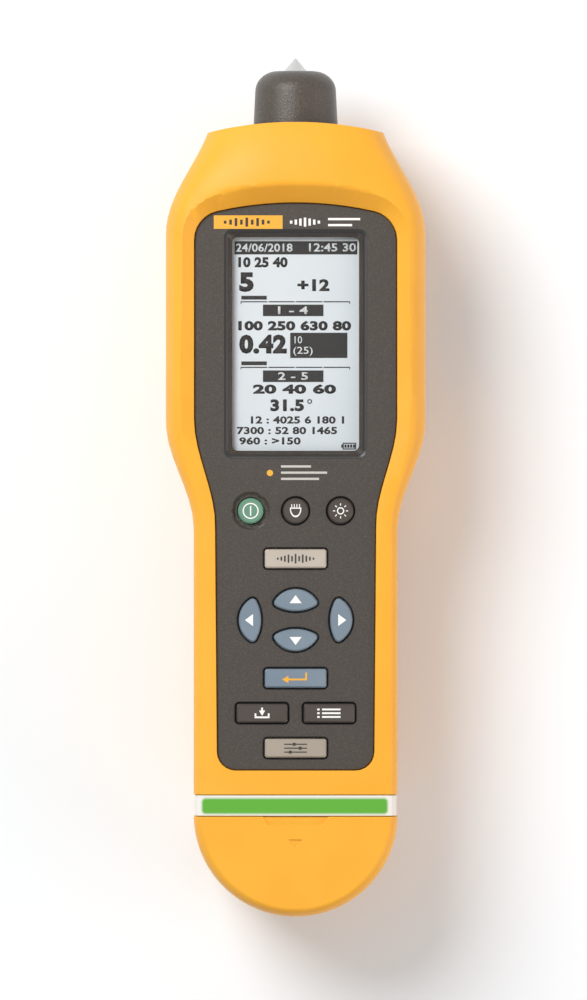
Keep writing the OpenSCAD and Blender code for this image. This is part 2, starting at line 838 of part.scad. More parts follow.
// Inside of the handle at the light band, and what plugs into it, drawn in by inset
function core_side(inset) = concat(
    reversed(corner(handle_w / 2, 0, [back_r, back_rz(body_y)], wall + inset, -1)),
    corner(handle_w / 2, ceiling_z + wall, ceiling_r + [wall, wall], wall + inset, 1));
module core_shape(inset) {
    polygon(mirrored(core_side(inset)));
}
module handle_shape(inset) {
    polygon(mirrored(whole_side(body_y, inset)));
}

band_in = 0.3;
band_gap = 0.2;
band_flange_t = 1.2;
band_tongue_t = 1.4;
band_tongue_l = 4;
module light_band() {
    flange_y = body_y - band_gap - band_flange_t;
    color("#eceae2")
        placed() {
            along(cover_l + band_gap, flange_y - cover_l - band_gap)
                difference() {
                    handle_shape(band_in);
                    handle_shape(band_in + wall);
                }
            along(flange_y, band_flange_t)
                difference() {
                    handle_shape(band_in);
                    core_shape(fit_gap + band_tongue_t);
                }
            along(flange_y + band_flange_t, band_tongue_l)
                difference() {
                    core_shape(fit_gap);
                    core_shape(fit_gap + band_tongue_t);
                }
        }
}

// Lamps of the light band on a narrow board, just behind its front
strip_in = 8.6;
strip_gap = 0.9;
strip_t = 0.8;
lamp_in = 0.5;
lamp_count = 5;
module led_strip() {
    strip_w = handle_w - 2 * strip_in;
    strip_z = handle_d - band_in - wall - fit_gap - 2 * strip_t;
    strip_y = cover_l + fit_gap + band_gap;
    strip_l = body_y - band_gap - band_flange_t - strip_gap - strip_y;
    lamp_w = strip_l - 2 * lamp_in;
    pitch = (strip_w - 2 * lamp_w) / (lamp_count - 1);
    color("#68b13c")
        placed() {
            translate([-strip_w / 2, strip_y, strip_z])
                cube([strip_w, strip_l, strip_t]);
            for (i = [0 : lamp_count - 1])
                translate([(i - (lamp_count - 1) / 2) * pitch - lamp_w / 2, strip_y + (strip_l - lamp_w) / 2,
                    strip_z + strip_t / 2])
                    cube([lamp_w, lamp_w, 1.5 * strip_t]);
        }
}

// Two cells side by side. The left one points to the butt, the right one to the board.
cell_d = 14.5;
cell_l = 50.5;
nub_d = 5.5;
nub_l = 1.4;
cell_x = 8;
cell_z = 22.5;
cell_y = 9.5;
spring_l = 5;
contact_t = 0.6;
contact_gap = 0.15;
contact_y = cell_y + cell_l + spring_l;
tray_gap = 3.7;
tray_y = body_y + tray_gap;
tray_t = 1.2;
tray_floor = 2;
deck_t = 1.6;

module cell(side, from_y, turn) {
    color(side < 0 ? "#3c6fa8" : "#4679b2")
        placed()
            translate([side * cell_x, from_y + (turn ? cell_l : 0), cell_z])
                rotate([turn ? 90 : -90, 0, 0]) {
                    cylinder(d = cell_d, h = cell_l - nub_l, $fn = curve_fn);
                    cylinder(d = nub_d, h = cell_l, $fn = small_fn);
                }
}

module battery_cell_left() { cell(-1, cell_y, true); }
module battery_cell_right() { cell(1, cell_y + spring_l, false); }

module battery_tray() {
    tray_w = 2 * cell_x + cell_d + 2 * fit_gap + 2 * tray_t;
    tray_h = cell_d + 2 * fit_gap + 2 * tray_t;
    end_y = contact_y + contact_t + tray_floor;
    deck_w = handle_w - 2 * wall - 2 * fit_gap;
    color("#3b3937")
        placed()
            difference() {
                union() {
                    translate([-tray_w / 2, tray_y, cell_z - tray_h / 2])
                        cube([tray_w, end_y - tray_y, tray_h]);
                    translate([-deck_w / 2, tray_y + tray_floor, cell_z + tray_h / 2 - deck_t])
                        cube([deck_w, end_y - tray_y - tray_floor, deck_t]);
                }
                for (side = [-1, 1])
                    rod(side * cell_x, tray_y - over, cell_z, cell_d + 2 * fit_gap,
                        contact_y + contact_t - tray_y + over);
            }
}

contact_w = 10;
module cell_contacts() {
    color("#c9cbcd")
        placed()
            for (side = [-1, 1])
                translate([side * cell_x - contact_w / 2, contact_y, cell_z - contact_w / 2])
                    cube([contact_w, contact_t, contact_w]);
}

// A wound spring as one unbroken tube along Z, with its ends closed
coil_rings = 8;
wire_sides = 6;
function coil_point(r, pitch, a) = [r * cos(a), r * sin(a), pitch * a / 360];
function wire_ring(r, pitch, a, wire_r) =
    [for (j = [0 : wire_sides - 1]) let (b = 360 * j / wire_sides)
        coil_point(r, pitch, a) + [wire_r * cos(b) * cos(a), wire_r * cos(b) * sin(a), wire_r * sin(b)]];

module coil(mean_d, wire_d, l, turns) {
    pitch = (l - wire_d) / turns;
    echo("least gap between the turns", pitch - wire_d);
    translate([0, 0, wire_d / 2])
        skin([for (i = [0 : turns * coil_rings])
            wire_ring(mean_d / 2, pitch, 360 * i / coil_rings, wire_d / 2)]);
}

spring_d = 8;
spring_wire_d = 0.8;
spring_turns = 3;
module battery_spring() {
    color("#c2c4c6")
        placed()
            translate([-cell_x, cell_y + cell_l + contact_gap, cell_z])
                rotate([-90, 0, 0])
                    coil(spring_d, spring_wire_d, spring_l - 2 * contact_gap, spring_turns);
}

module cover_spring() {
    color("#c2c4c6")
        placed()
            translate([cell_x, cell_y, cell_z])
                rotate([-90, 0, 0])
                    coil(spring_d, spring_wire_d, spring_l - contact_gap, spring_turns);
}

// Battery cover: half of a turned shell, straight past the half turn where the cover is longer than that.
// It has a bulkhead and a tongue that slides into the handle.
cover_r = handle_w / 2;
tongue_in = fit_gap + band_tongue_t + fit_gap;
tongue_t = 1.4;
bulkhead_t = 2;
bulkhead_back = 4.6;
contact_rib_w = 26;
contact_rib_h = 13;
notch_slope = 1.5;
notch_t = 1;
mark_w = 3.6;
mark_l = 2.1;
mark_t = 0.4;
mark_back = 6.5;
mark_y = cover_l - mark_back;

module turned_cover(inset) {
    translate([0, cover_r, 0])
        rotate_extrude(angle = 180, start = 180, $fn = curve_fn)
            polygon(concat([[0, inset]], whole_side(body_y, inset), [[0, handle_d - inset]]));
    if (cover_l > cover_r)
        along(cover_r, cover_l)
            handle_shape(inset);
}

module battery_cover() {
    bulkhead_y = cover_l - bulkhead_back;
    color("#f5b044")
        placed() {
            difference() {
                turned_cover(0);
                turned_cover(wall);
                translate([-handle_w, cover_l, -over])
                    cube([2 * handle_w, handle_w, handle_d + 2 * over]);
                translate([0, cover_l, handle_d - notch_t])
                    linear_extrude(notch_t + over)
                        polygon(mirrored([[notch_w / 2, over], [notch_w / 2, 0],
                            [notch_w / 2 - notch_slope, -notch_l]]));
                translate([0, 0, handle_d - mark_t])
                    linear_extrude(mark_t + over)
                        polygon([[-mark_w / 2, mark_y], [mark_w / 2, mark_y], [0, mark_y - mark_l]]);
            }
            difference() {
                intersection() {
                    turned_cover(wall / 2);
                    translate([-handle_w, bulkhead_y, 0])
                        cube([2 * handle_w, bulkhead_t, handle_d]);
                }
                along(bulkhead_y - over, bulkhead_t + 2 * over)
                    core_shape(tongue_in + tongue_t);
            }
            along(bulkhead_y, body_y - bulkhead_y + band_tongue_l - fit_gap)
                difference() {
                    core_shape(tongue_in);
                    core_shape(tongue_in + tongue_t);
                }
            intersection() {
                turned_cover(wall / 2);
                translate([-contact_rib_w / 2, 0, cell_z - contact_rib_h / 2])
                    cube([contact_rib_w, cell_y - contact_t, contact_rib_h]);
            }
        }
}

module cover_contact() {
    color("#c9cbcd")
        placed()
            translate([-contact_rib_w / 2 + inner_r, cell_y - contact_t, cell_z - contact_w / 2])
                cube([contact_rib_w - 2 * inner_r, contact_t - contact_gap, contact_w]);
}

// Head end: a dark plate, crowned like the housings and set back in them
ir_x_share = -0.306;
torch_x_share = 0.349;
ir_x = ir_x_share * end_w / 2;
torch_x = torch_x_share * end_w / 2;
function crown_r(half, rise) = (half * half + rise * rise) / (2 * rise);

module end_plate() {
    end_r = crown_r(half_w(shell_l - end_bow), end_bow);
    color("#403c39")
        placed()
            difference() {
                intersection() {
                    along(end_y, 2 * end_t)
                        polygon(mirrored(end_side(wall + fit_gap)));
                    translate([0, shell_l - end_back - end_r, 0])
                        cylinder(r = end_r, h = head_d, $fn = 8 * curve_fn);
                }
                rod(0, end_y - over, probe_z, boot_bore_d, 3 * end_t);
                for (x = [ir_x, torch_x])
                    rod(x, end_y - over, eye_z, eye_d + 2 * fit_gap, 3 * end_t);
            }
}

// Rubber boot, from its flange behind the end plate to its nose round the tip
boot_flange_w = 1.7;
boot_flange_t = 2;
boot_clear = 0.75;
boot_nose_t = 5;
boot_nose_d = boot_d - boot_draft;
boot_flange_d = boot_d + 2 * boot_flange_w;
nose_taper_l = 1.8;
nose_round_l = 5.7;
nose_round_share = 0.82;
nose_y = shell_l + boot_l;
tip_gap = 0.3;

module turned(y) {
    translate([0, y, probe_z])
        rotate([-90, 0, 0])
            rotate_extrude($fn = curve_fn)
                children();
}

module sensor_boot() {
    base_y = end_y - boot_flange_t;
    inner_d = sensor_d + 2 * boot_clear;
    nose_round = [nose_round_share * ((boot_nose_d - tip_d) / 2 - tip_gap), nose_round_l];
    nose_c = [boot_nose_d / 2 - nose_round[0], nose_y - nose_round[1]];
    color("#4a4541")
        placed()
            turned(0)
                polygon(concat(
                    [[inner_d / 2, base_y], [boot_flange_d / 2, base_y], [boot_flange_d / 2, end_y],
                        [boot_d / 2, end_y], [boot_d / 2, shell_l]],
                    arc(nose_c, nose_round, 0, 90, 2 * corner_steps),
                    [[tip_d / 2 + tip_gap, nose_y], [tip_d / 2 + tip_gap, nose_y - boot_nose_t],
                        [inner_d / 2, nose_y - boot_nose_t - nose_taper_l]]));
}

clamp_t = 2;
clamp_in = 0.5;
clamp_d = boot_flange_d - 2 * clamp_in;
module boot_clamp() {
    clamp_y = end_y - boot_flange_t - clamp_t;
    color("#9a9da0")
        placed()
            difference() {
                rod(0, clamp_y, probe_z, clamp_d, clamp_t);
                rod(0, clamp_y - over, probe_z, sensor_d + 2 * sleeve_gap + fit_gap, clamp_t + 2 * over);
            }
}

// Vibration sensor in its sleeve. The tip, the sensor and the spring behind it move together.
sensor_d = 14;
sensor_l = 16;
sensor_neck_d = 9;
sensor_neck_l = 3;
sleeve_gap = 0.3;
sleeve_t = 1;
sleeve_floor = 2;
coil_l = 8.8;
coil_d = 10;
coil_wire_d = 1.2;
coil_turns = 4;
sensor_y = end_y - sensor_l;
coil_gap = 0.2;
sleeve_in_y = sensor_y - coil_l - tip_travel - coil_gap;

module sensor_sleeve() {
    sleeve_y = sleeve_in_y - sleeve_floor;
    color("#56534f")
        placed()
            difference() {
                rod(0, sleeve_y, probe_z, sensor_d + 2 * sleeve_gap + 2 * sleeve_t,
                    end_y - boot_flange_t - clamp_t - sleeve_y);
                rod(0, sleeve_in_y, probe_z, sensor_d + 2 * sleeve_gap, sensor_l + coil_l + over + coil_gap);
            }
}

module accelerometer() {
    color("#b4b6b8")
        placed() {
            rod(0, sensor_y, probe_z, sensor_d, sensor_l);
            rod(0, end_y - over, probe_z, sensor_neck_d, sensor_neck_l + over);
        }
}

tip_blunt = 0.35;
module sensor_tip() {
    base_y = end_y + sensor_neck_l;
    cone_y = overall_l - cone_l;
    color("#a9aaab")
        placed()
            turned(0)
                polygon([[0, base_y], [tip_d / 2, base_y], [tip_d / 2, cone_y],
                    [tip_blunt, overall_l - tip_blunt * 2 * cone_l / tip_d + tip_blunt / 2], [0, overall_l]]);
}

module probe_spring() {
    color("#c2c4c6")
        placed()
            translate([0, sensor_y - coil_l, probe_z])
                rotate([-90, 0, 0])
                    coil(coil_d, coil_wire_d, coil_l, coil_turns);
}

// Infrared window and torch under the probe
eye_t = 1.5;
eye_back = 0.8;
ir_l = 8;
led_d = 7;
led_l = 7;
eye_y = shell_l - end_back - eye_back - eye_t;
module ir_window() {
    color("#5d3f4c", 0.8)
        placed()
            rod(ir_x, eye_y, eye_z, eye_d, eye_t);
}

module ir_sensor() {
    color("#a5a7a9")
        placed()
            rod(ir_x, eye_y - fit_gap - ir_l, eye_z, eye_d, ir_l);
}

module torch_lens() {
    color("#e8edef", 0.7)
        placed()
            rod(torch_x, eye_y, eye_z, eye_d, eye_t);
}

module torch_led() {
    color("#f2efdc")
        placed()
            rod(torch_x, eye_y - fit_gap - led_l, eye_z, led_d, led_l);
}

// Port bay behind the door: a bezel with three sockets on their own board
bezel_t = 1.4;
bay_l = 5.2;
bay_in = 5.2;
socket_l = 7;
usb_w = 8;
usb_h = 4;
usb_wall = 0.5;
jack_d = 6.4;
jack_bore_d = 3.6;
jack_bore_l = 6;
sensor_socket_d = 8;
sensor_bore_d = 6;
sensor_insert_d = 3.6;
port_board_t = 1.6;
port_board_grow = 1;
socket_proud = 0.3;
bay_x = head_w / 2 - bay_in;
bay_floor_x = bay_x - bay_l;
bay_z = door_z + door_h / 2;
port_board_x = bay_floor_x + socket_proud - socket_l;
usb_y = door_y + door_l * 0.2;
jack_y = door_y + door_l / 2;
sensor_socket_y = door_y + door_l * 0.8;

module out_rod(x, y, d, l) {
    translate([x, y, bay_z])
        rotate([0, 90, 0])
            cylinder(d = d, h = l, $fn = curve_fn);
}

module usb_block(x, l, grow) {
    translate([x, usb_y - usb_w / 2 - grow, bay_z - usb_h / 2 - grow])
        cube([l, usb_w + 2 * grow, usb_h + 2 * grow]);
}

module port_bezel() {
    low = [bay_floor_x - bezel_t, door_y + fit_gap, door_z + fit_gap];
    size = [bay_l + bezel_t, door_l - 2 * fit_gap, door_h - 2 * fit_gap];
    hole_x = bay_floor_x - 2 * bezel_t;
    hole_l = 3 * bezel_t;
    color("#2f2d2b")
        placed()
            difference() {
                translate(low)
                    cube(size);
                translate(low + bezel_t * [1, 1, 1])
                    cube(size - bezel_t * [0, 2, 2]);
                usb_block(hole_x, hole_l, fit_gap);
                out_rod(hole_x, jack_y, jack_d + 2 * fit_gap, hole_l);
                out_rod(hole_x, sensor_socket_y, sensor_socket_d + 2 * fit_gap, hole_l);
            }
}

module port_board() {
    color("#3f7a4c")
        placed()
            translate([port_board_x - port_board_t, door_y - port_board_grow, door_z - port_board_grow])
                cube([port_board_t, door_l + 2 * port_board_grow, door_h + port_board_grow]);
}

module usb_socket() {
    color("#b9bbbd")
        placed()
            difference() {
                usb_block(port_board_x, socket_l, 0);
                usb_block(port_board_x + socket_l / 4, socket_l, -usb_wall);
            }
}

module audio_jack() {
    color("#22211f")
        placed()
            difference() {
                out_rod(port_board_x, jack_y, jack_d, socket_l);
                out_rod(port_board_x + socket_l - jack_bore_l, jack_y, jack_bore_d, jack_bore_l + over);
            }
}

module sensor_socket() {
    color("#a9abad")
        placed()
            difference() {
                out_rod(port_board_x, sensor_socket_y, sensor_socket_d, socket_l);
                difference() {
                    out_rod(port_board_x + socket_l / 3, sensor_socket_y, sensor_bore_d, socket_l);
                    out_rod(port_board_x, sensor_socket_y, sensor_insert_d, socket_l - socket_proud);
                }
            }
}

// Door of the port bay: a piece of the wall, hung along its upper edge
module port_door() {
    mid_y = door_y + door_l / 2;
    color("#4b4743")
        placed()
            along(door_y + fit_gap, door_l - 2 * fit_gap)
                intersection() {
                    polygon(concat(back_side(mid_y, 0, seam_z), reversed(back_side(mid_y, wall, seam_z))));
                    translate([head_w / 4, door_z + fit_gap])
                        square([head_w, door_h - 2 * fit_gap]);
                }
}

front_housing();
rear_housing();
shell_gasket();
housing_screws();
faceplate();
display_window();
display_gasket();
lcd_frame();
lcd_panel();
main_board();
board_chips();
board_screws();
keypad_mat();
key_power();
key_torch();
key_backlight();
key_measure();
key_up();
key_down();
key_left();
key_right();
key_enter();
key_save();
key_memory();
key_setup();
light_band();
led_strip();
battery_tray();
battery_cell_left();
battery_cell_right();
battery_spring();
cell_contacts();
battery_cover();
cover_contact();
cover_spring();
end_plate();
sensor_boot();
boot_clamp();
sensor_sleeve();
accelerometer();
sensor_tip();
probe_spring();
ir_window();
ir_sensor();
torch_lens();
torch_led();
port_bezel();
port_board();
usb_socket();
audio_jack();
sensor_socket();
port_door();
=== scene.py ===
"""Looks of a handheld vibration meter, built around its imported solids.

Everything is in metres: X across the meter, Y towards the probe, Z out of the display.
Places on the front are given in pixels of the photograph, which is 587 pixels wide and 1000 high.
"""

import json
import math

import bmesh
import bpy
from mathutils import Matrix, Vector

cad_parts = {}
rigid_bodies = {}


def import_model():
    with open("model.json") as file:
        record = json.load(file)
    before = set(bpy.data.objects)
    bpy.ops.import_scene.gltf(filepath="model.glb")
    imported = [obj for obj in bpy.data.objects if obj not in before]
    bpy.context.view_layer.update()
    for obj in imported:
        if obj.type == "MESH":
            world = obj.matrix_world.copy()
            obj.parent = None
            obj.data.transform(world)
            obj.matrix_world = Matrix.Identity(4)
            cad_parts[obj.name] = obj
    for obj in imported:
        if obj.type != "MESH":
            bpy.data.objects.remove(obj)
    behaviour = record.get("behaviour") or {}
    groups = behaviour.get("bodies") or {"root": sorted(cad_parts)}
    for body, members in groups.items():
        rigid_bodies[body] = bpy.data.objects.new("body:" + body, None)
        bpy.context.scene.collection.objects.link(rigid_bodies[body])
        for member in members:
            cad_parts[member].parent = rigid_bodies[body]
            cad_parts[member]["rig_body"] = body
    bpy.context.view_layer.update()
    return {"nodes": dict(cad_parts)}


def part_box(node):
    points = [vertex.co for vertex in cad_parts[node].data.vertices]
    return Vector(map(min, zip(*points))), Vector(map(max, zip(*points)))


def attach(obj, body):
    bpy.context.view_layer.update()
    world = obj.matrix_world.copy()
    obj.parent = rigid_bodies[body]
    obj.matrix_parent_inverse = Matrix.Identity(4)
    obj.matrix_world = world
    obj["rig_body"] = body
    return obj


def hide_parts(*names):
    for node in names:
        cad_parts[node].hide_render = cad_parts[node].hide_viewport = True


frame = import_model()
nodes = frame["nodes"]

# The photograph: its size, the size of a pixel on the meter, and the pixel over the middle of the meter
PHOTO_W, PHOTO_H = 587, 1000
PIXEL = 0.2809e-3
MIDDLE_PX = (295.6, 487.0)

MM = 1e-3
# Thickness of the printed marks
INK = 0.04 * MM
# Size of the fine grain of moulded plastic, and its depth on the smooth keys
GRAIN = 0.3 * MM
KEY_GRAIN_DEPTH = 0.006 * MM
# Faces that meet at less than this angle shade as one: on most pieces, on the keys, and on coiled wire
SMOOTH_DEG = 32
KEY_SMOOTH_DEG = 20
WIRE_SMOOTH_DEG = 80


def spot(x_px, y_px):
    """The place on the meter under a pixel of the photograph."""
    return Vector(((x_px - MIDDLE_PX[0]) * PIXEL, (MIDDLE_PX[1] - y_px) * PIXEL, 0))


def middle(node):
    low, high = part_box(node)
    return (low + high) / 2


def top(node):
    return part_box(node)[1].z


# Materials


def linear(r, g, b):
    """A colour given as it looks on a screen, from 11 to 255, in the renderer's own scale."""
    return tuple(((c / 255 + 0.055) / 1.055) ** 2.4 for c in (r, g, b)) + (1,)


def new_surface(name, colour, roughness, specular=0.5):
    """A material with its Principled shader, and the Object coordinates that its patterns read."""
    mat = bpy.data.materials.new(name)
    mat.use_nodes = True
    tree = mat.node_tree
    shader = tree.nodes["Principled BSDF"]
    shader.inputs["Base Color"].default_value = colour
    shader.inputs["Roughness"].default_value = roughness
    shader.inputs["Specular IOR Level"].default_value = specular
    mat.diffuse_color = colour
    coords = tree.nodes.new("ShaderNodeTexCoord").outputs["Object"]
    return mat, tree, shader, coords


def noise(tree, coords, size, detail=2.0, roughness=0.5):
    """Noise whose features are about as large as size."""
    node = tree.nodes.new("ShaderNodeTexNoise")
    node.inputs["Scale"].default_value = 1 / size
    node.inputs["Detail"].default_value = detail
    node.inputs["Roughness"].default_value = roughness
    tree.links.new(coords, node.inputs["Vector"])
    return node.outputs["Fac"]


def spread(tree, value, low, high, to_low=0.0, to_high=1.0):
    """Maps the values between low and high to another range."""
    node = tree.nodes.new("ShaderNodeMapRange")
    ends = {"From Min": low, "From Max": high, "To Min": to_low, "To Max": to_high}
    for socket, number in ends.items():
        node.inputs[socket].default_value = number
    tree.links.new(value, node.inputs["Value"])
    return node.outputs["Result"]


def blended(tree, share, first, second):
    """Two colours, or sockets that give them, mixed by a share."""
    node = tree.nodes.new("ShaderNodeMix")
    node.data_type = "RGBA"
    tree.links.new(share, node.inputs["Factor"])
    # The colours of this node are its inputs 6 and 7 and its output 2
    for socket, given in ((node.inputs[6], first), (node.inputs[7], second)):
        if isinstance(given, tuple):
            socket.default_value = given
        else:
            tree.links.new(given, socket)
    return node.outputs[2]


def bump(tree, shader, height, depth):
    node = tree.nodes.new("ShaderNodeBump")
    node.inputs["Distance"].default_value = depth
    node.inputs["Strength"].default_value = 1.0
    tree.links.new(height, node.inputs["Height"])
    tree.links.new(node.outputs["Normal"], shader.inputs["Normal"])


def moulded(name, colour, shade, roughness, grain, depth, specular=0.5):
    """Moulded plastic or rubber: soft patches between two shades, and a fine spark-eroded grain."""
    mat, tree, shader, coords = new_surface(name, colour, roughness, specular)
    patches = spread(tree, noise(tree, coords, 14 * MM), 0.35, 0.65)
    tree.links.new(blended(tree, patches, colour, shade), shader.inputs["Base Color"])
    fine = noise(tree, coords, grain, 3.0, 0.6)
    gloss = spread(tree, fine, 0.3, 0.7, roughness - 0.06, roughness + 0.06)
    tree.links.new(gloss, shader.inputs["Roughness"])
    bump(tree, shader, fine, depth)
    return mat


def key_plastic(name, colour, shade, roughness):
    return moulded(name, colour, shade, roughness, GRAIN, KEY_GRAIN_DEPTH)


def speckled(name, colour, fleck_and_glint, roughness, grain, depth):
    """Coarse textured plastic with paler flecks in its colour: partly its grain, and partly painted glints
    where the grains would catch the light.
    """
    mat, tree, shader, coords = new_surface(name, colour, roughness)
    fine = noise(tree, coords, grain, 2.0, 0.7)
    flecks_and_glints = spread(tree, fine, 0.5, 0.72)
    tree.links.new(blended(tree, flecks_and_glints, colour, fleck_and_glint), shader.inputs["Base Color"])
    bump(tree, shader, fine, depth)
    return mat


def brushed(name, colour, roughness, stretch):
    """Turned or drawn metal with fine marks along one axis."""
    mat, tree, shader, coords = new_surface(name, colour, roughness)
    shader.inputs["Metallic"].default_value = 1.0
    mapping = tree.nodes.new("ShaderNodeMapping")
    mapping.inputs["Scale"].default_value = stretch
    tree.links.new(coords, mapping.inputs["Vector"])
    marks = noise(tree, mapping.outputs["Vector"], 0.25 * MM, 3.0, 0.6)
    gloss = spread(tree, marks, 0.3, 0.7, roughness - 0.08, roughness + 0.1)
    tree.links.new(gloss, shader.inputs["Roughness"])
    bump(tree, shader, marks, 0.01 * MM)
    return mat


def plain_ink(name, colour, roughness=0.5):
    """Printed ink: an even colour with the slight grain of what it lies on."""
    mat, tree, shader, coords = new_surface(name, colour, roughness)
    bump(tree, shader, noise(tree, coords, GRAIN), 0.008 * MM)
    return mat


yellow = moulded(
    "yellow_plastic", linear(244, 176, 51), linear(242, 172, 48), 0.47, GRAIN, 0.012 * MM, specular=0.36
)
# The second colour of the faceplate and of the boot is their paler flecks: partly grain and partly painted
# glints
plate_dark = speckled(
    "faceplate_plastic", linear(54, 47, 41), linear(78, 71, 63), 0.46, 0.36 * MM, 0.05 * MM
)
rubber = speckled("boot_rubber", linear(69, 62, 54), linear(92, 84, 74), 0.36, 0.5 * MM, 0.15 * MM)
soft_black = moulded("door_rubber", linear(52, 49, 46), linear(46, 43, 41), 0.6, GRAIN, 0.03 * MM)
key_green = key_plastic("key_green", linear(102, 147, 122), linear(94, 139, 114), 0.35)
key_dark = key_plastic("key_dark", linear(59, 50, 43), linear(65, 57, 52), 0.38)
key_beige = key_plastic("key_beige", linear(190, 180, 167), linear(184, 174, 161), 0.4)
# The setup key is the measure key's beige made a shade darker: painted shade, for the weaker light that
# falls on it
setup_key_painted_shade = key_plastic("key_beige_painted_shade", linear(167, 156, 142), linear(161, 150, 136), 0.4)
key_blue = key_plastic("key_blue_grey", linear(121, 137, 149), linear(114, 130, 143), 0.36)
# Black for the rounded edge and walls of the faceplate's openings: painted shade of the gap round the
# display and the keys
gap_shade_black = key_plastic("opening_gap_shade", linear(33, 30, 28), linear(28, 26, 25), 0.36)
black_plastic = moulded("black_plastic", linear(42, 41, 40), linear(36, 35, 34), 0.5, GRAIN, 0.02 * MM)
chip_black = moulded("chip_black", linear(34, 34, 36), linear(40, 40, 42), 0.45, 0.2 * MM, 0.01 * MM)
tip_steel = brushed("tip_steel", linear(208, 207, 204), 0.34, (1, 0.06, 1))
screw_steel = brushed("screw_steel", linear(168, 168, 170), 0.36, (1, 1, 0.1))
spring_steel = brushed("spring_steel", linear(204, 204, 206), 0.24, (1, 1, 1))
contact_metal = brushed("contact_metal", linear(214, 208, 190), 0.26, (0.08, 1, 1))
carrier_steel = brushed("carrier_steel", linear(186, 187, 189), 0.38, (0.05, 1, 1))
sensor_can = brushed("sensor_can", linear(190, 191, 194), 0.3, (1, 0.08, 1))
white_ink = plain_ink("white_ink", linear(244, 243, 240))
grey_ink = plain_ink("grey_ink", linear(196, 192, 186))
dark_ink = plain_ink("dark_ink", linear(46, 43, 41), 0.6)
amber_ink = plain_ink("amber_ink", linear(236, 172, 52))
lcd_ink = plain_ink("lcd_ink", linear(45, 42, 40), 0.7)
lcd_pale = plain_ink("lcd_pale", linear(226, 232, 234), 0.7)


def display_face():
    """Pale blue-grey display with its fine grid of cells and a little unevenness of its backlight."""
    mat, tree, shader, coords = new_surface("display_face", linear(229, 237, 241), 0.45, 0.3)
    glow = spread(tree, noise(tree, coords, 30 * MM, 1.0), 0.3, 0.7)
    shade = blended(tree, glow, linear(226, 234, 239), linear(232, 239, 242))
    tree.links.new(shade, shader.inputs["Base Color"])
    cells = tree.nodes.new("ShaderNodeTexBrick")
    cells.offset = 0
    cells.inputs["Scale"].default_value = 1 / (0.24 * MM)
    cells.inputs["Mortar Size"].default_value = 0.06
    cells.inputs["Brick Width"].default_value = 1
    cells.inputs["Row Height"].default_value = 1
    tree.links.new(coords, cells.inputs["Vector"])
    bump(tree, shader, cells.outputs["Fac"], 0.004 * MM)
    return mat


def clear(name, colour, alpha, roughness=0.06):
    """A clear moulding that shows what is behind it, with a hint of its own tint."""
    mat, tree, shader, coords = new_surface(name, colour, roughness)
    gloss = spread(tree, noise(tree, coords, 6 * MM), 0.3, 0.7, roughness, roughness + 0.03)
    tree.links.new(gloss, shader.inputs["Roughness"])
    shader.inputs["Alpha"].default_value = alpha
    return mat


def band_light():
    """Milky plastic, lit green from behind along its front, with a soft pale edge round the lit part."""
    mat, tree, shader, coords = new_surface("band_light", linear(240, 238, 232), 0.3)
    low, high = spot(202, 813.3), spot(387.6, 797.5)
    centre, half = (low + high) / 2, (high - low) / 2
    corner, soft = 1.1 * MM, 0.8 * MM
    unlit_below, lit_above = 44 * MM, 46 * MM
    glow = 0.16

    def step(operation, first, second=None):
        node = tree.nodes.new("ShaderNodeVectorMath")
        node.operation = operation
        tree.links.new(first, node.inputs[0])
        if second is not None:
            node.inputs[1].default_value = second
        return node.outputs["Vector"]

    # The distance from a rounded box, as it looks from the front
    flat = step("MULTIPLY", step("SUBTRACT", coords, centre), (1, 1, 0))
    past = step("SUBTRACT", step("ABSOLUTE", flat), (half.x - corner, half.y - corner, 0))
    length = tree.nodes.new("ShaderNodeVectorMath")
    length.operation = "LENGTH"
    tree.links.new(step("MAXIMUM", past, (0, 0, 0)), length.inputs[0])
    lit = spread(tree, length.outputs["Value"], corner + soft / 2, corner - soft / 2)
    parts = tree.nodes.new("ShaderNodeSeparateXYZ")
    tree.links.new(coords, parts.inputs["Vector"])
    front = tree.nodes.new("ShaderNodeMath")
    front.operation = "MULTIPLY"
    tree.links.new(lit, front.inputs[0])
    tree.links.new(spread(tree, parts.outputs["Z"], unlit_below, lit_above), front.inputs[1])
    shade = blended(tree, front.outputs["Value"], linear(236, 234, 226), linear(84, 160, 44))
    tree.links.new(shade, shader.inputs["Base Color"])
    tree.links.new(shade, shader.inputs["Emission Color"])
    tree.links.new(spread(tree, front.outputs["Value"], 0, 1, 0, glow), shader.inputs["Emission Strength"])
    bump(tree, shader, noise(tree, coords, 0.4 * MM), 0.004 * MM)
    return mat


def board_green():
    """Solder mask with paler tracks that stand out a little."""
    mat, tree, shader, coords = new_surface("board_green", linear(52, 112, 66), 0.35)
    tracks = tree.nodes.new("ShaderNodeTexVoronoi")
    tracks.distance = "CHEBYCHEV"
    tracks.inputs["Scale"].default_value = 1 / (3 * MM)
    tree.links.new(coords, tracks.inputs["Vector"])
    share = spread(tree, tracks.outputs["Distance"], 0.42, 0.46)
    green = blended(tree, share, linear(48, 106, 62), linear(72, 138, 84))
    tree.links.new(green, shader.inputs["Base Color"])
    bump(tree, shader, share, 0.03 * MM)
    return mat


def cell_jacket():
    """Printed jacket of a cell in two colours, with bare metal at the end in the cap."""
    mat, tree, shader, coords = new_surface("cell_jacket", linear(58, 96, 150), 0.32)
    parts = tree.nodes.new("ShaderNodeSeparateXYZ")
    tree.links.new(coords, parts.inputs["Vector"])
    low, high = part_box("battery_cell_left")
    pale_l, bare_l = 17 * MM, 1.2 * MM
    share = spread(tree, parts.outputs["Y"], high.y - pale_l, high.y - pale_l + 0.2 * MM)
    two_tone = blended(tree, share, linear(50, 84, 138), linear(200, 204, 208))
    bare_end = spread(tree, parts.outputs["Y"], low.y + bare_l + 0.1 * MM, low.y + bare_l)
    tree.links.new(blended(tree, bare_end, two_tone, linear(190, 188, 182)), shader.inputs["Base Color"])
    bump(tree, shader, noise(tree, coords, 1 * MM), 0.01 * MM)
    return mat


